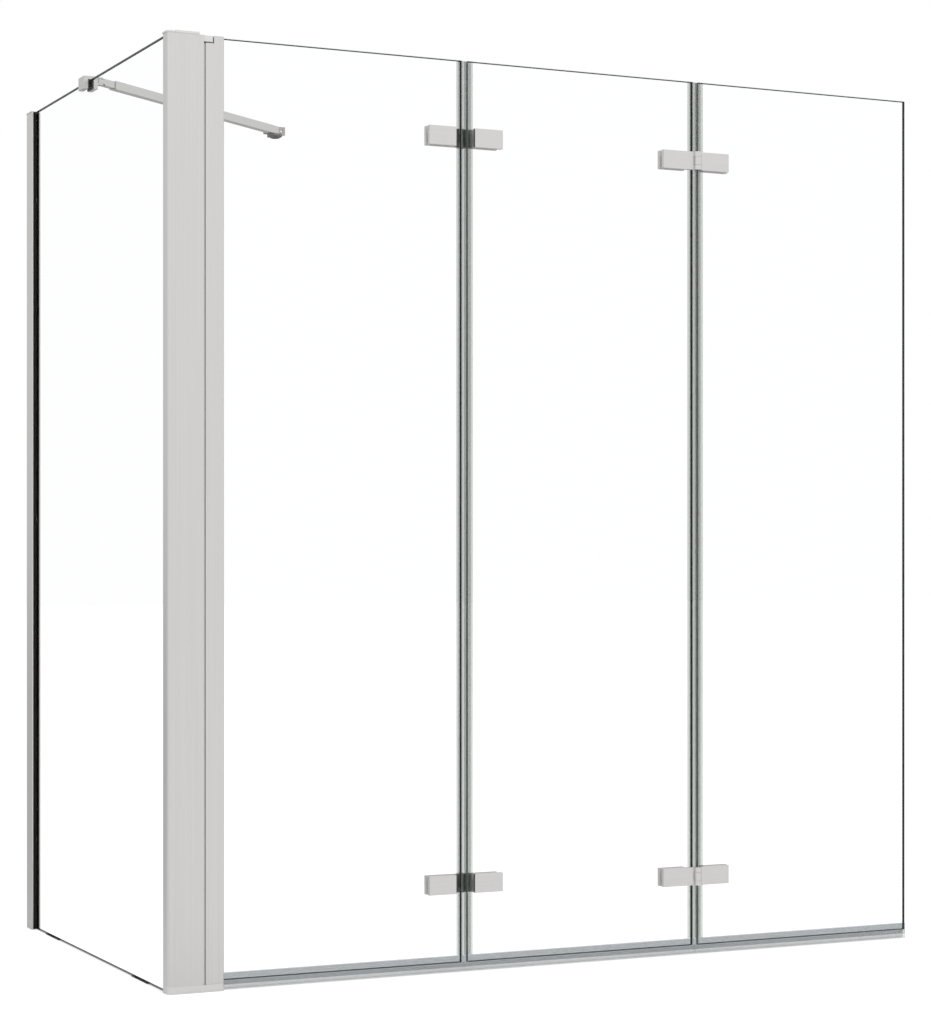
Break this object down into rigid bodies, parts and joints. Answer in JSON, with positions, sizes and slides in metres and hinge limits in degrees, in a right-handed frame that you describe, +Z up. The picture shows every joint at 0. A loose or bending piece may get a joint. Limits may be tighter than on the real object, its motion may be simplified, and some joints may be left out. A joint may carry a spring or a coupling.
{
  "type": "folding bath screen",
  "caption": "Corner bath screen with a fixed side pane, a post on the bath rim, hinged concertina glass leaves and a telescopic brace bar to the wall.",
  "frame": {"origin": "foot of the leaf pivot axis, on the bath rim under the corner post", "axes": "+Z up, +X along the leaves away from the post, +Y from the leaves towards the wall, inside the bath"},
  "size_m": [1.2973, 0.751, 1.4064],
  "materials": {
    "glass": "clear toughened glass with green edges",
    "profile_metal": "satin silver anodised extrusion",
    "hinge_metal": "satin plated hinge plates",
    "brace_metal": "satin plated bar and fittings",
    "bracket_metal": "darker satin plated casting",
    "steel": "plain stainless steel",
    "edge_seal": "translucent soft plastic seal",
    "bottom_seal": "translucent soft plastic seal with a wiping lip",
    "black_rubber": "matt black rubber",
    "pale_rubber": "pale grey rubber pads between plates and glass",
    "nylon": "white nylon"
  },
  "bodies": {
    "frame": {"corner_profile": "profile_metal", "front_profile": "profile_metal", "corner_cap": "profile_metal", "post_cap": "profile_metal", "top_pivot_block": "profile_metal", "post_foot": "profile_metal", "top_pivot_pin": "steel", "bottom_pivot_pin": "steel", "pivot_washer": "nylon", "joining_screws": "steel", "side_glass": "glass", "side_gasket": "black_rubber", "setting_blocks": "black_rubber", "wall_channel": "profile_metal", "wall_gasket_outer": "black_rubber", "wall_gasket_inner": "black_rubber", "channel_cap": "profile_metal", "brace_clamp": "brace_metal", "clamp_pad": "black_rubber", "clamp_screws": "steel", "swivel_pin": "steel"},
    "brace_inner": {"brace_rod": "brace_metal"},
    "brace_outer": {"brace_tube": "brace_metal", "brace_end": "brace_metal", "slide_screw": "steel"},
    "wall_swivel": {"wall_bracket": "bracket_metal", "bracket_bolt": "steel"},
    "leaf_1": {"pivot_profile": "profile_metal", "pivot_bushes": "nylon", "leaf_gasket": "edge_seal", "glass_1": "glass", "bottom_seal_1": "bottom_seal", "edge_seal_1_right": "edge_seal", "hinge_a_fork_upper": "hinge_metal", "hinge_a_fork_lower": "hinge_metal", "hinge_a_covers_1": "hinge_metal", "hinge_a_pins": "steel", "hinge_gaskets_1": "pale_rubber", "hinge_screws_1": "steel"},
    "leaf_2": {"glass_2": "glass", "bottom_seal_2": "bottom_seal", "edge_seal_2_left": "edge_seal", "edge_seal_2_right": "edge_seal", "hinge_a_tongue_upper": "hinge_metal", "hinge_a_tongue_lower": "hinge_metal", "hinge_a_covers_2": "hinge_metal", "hinge_b_fork_upper": "hinge_metal", "hinge_b_fork_lower": "hinge_metal", "hinge_b_covers_2": "hinge_metal", "hinge_b_pins": "steel", "hinge_gaskets_2": "pale_rubber", "hinge_screws_2": "steel"},
    "leaf_3": {"glass_3": "glass", "bottom_seal_3": "bottom_seal", "edge_seal_3_left": "edge_seal", "hinge_b_tongue_upper": "hinge_metal", "hinge_b_tongue_lower": "hinge_metal", "hinge_b_covers_3": "hinge_metal", "hinge_gaskets_3": "pale_rubber", "hinge_screws_3": "steel"}
  },
  "joints": [
    {"name": "post_swing", "type": "hinge", "parent": "frame", "child": "leaf_1", "pos_m": [0, 0, 0], "axis": [0, 0, 1], "range_deg": [0, 35]},
    {"name": "fold_a", "type": "hinge", "parent": "leaf_1", "child": "leaf_2", "pos_m": [0.417, 0.0105, 0], "axis": [0, 0, 1], "range_deg": [0, 174]},
    {"name": "fold_b", "type": "hinge", "parent": "leaf_2", "child": "leaf_3", "pos_m": [0.825, -0.0105, 0], "axis": [0, 0, 1], "range_deg": [-174, 0]},
    {"name": "bar_swivel", "type": "hinge", "parent": "frame", "child": "brace_inner", "pos_m": [-0.0385, 0.4055, 1.3972], "axis": [0, 0, 1], "range_deg": [-36, 45]},
    {"name": "bar_slide", "type": "slide", "parent": "brace_inner", "child": "brace_outer", "axis": [0.8025, 0.5967, 0], "range_m": [-0.015, 0.06]},
    {"name": "bracket_swivel", "type": "hinge", "parent": "brace_outer", "child": "wall_swivel", "pos_m": [0.38, 0.7167, 1.3972], "axis": [0, 0, 1], "range_deg": [-45, 45]}
  ],
  "couplings": [
    {"joint": "fold_b", "follows": "fold_a", "ratio": -1}
  ]
}
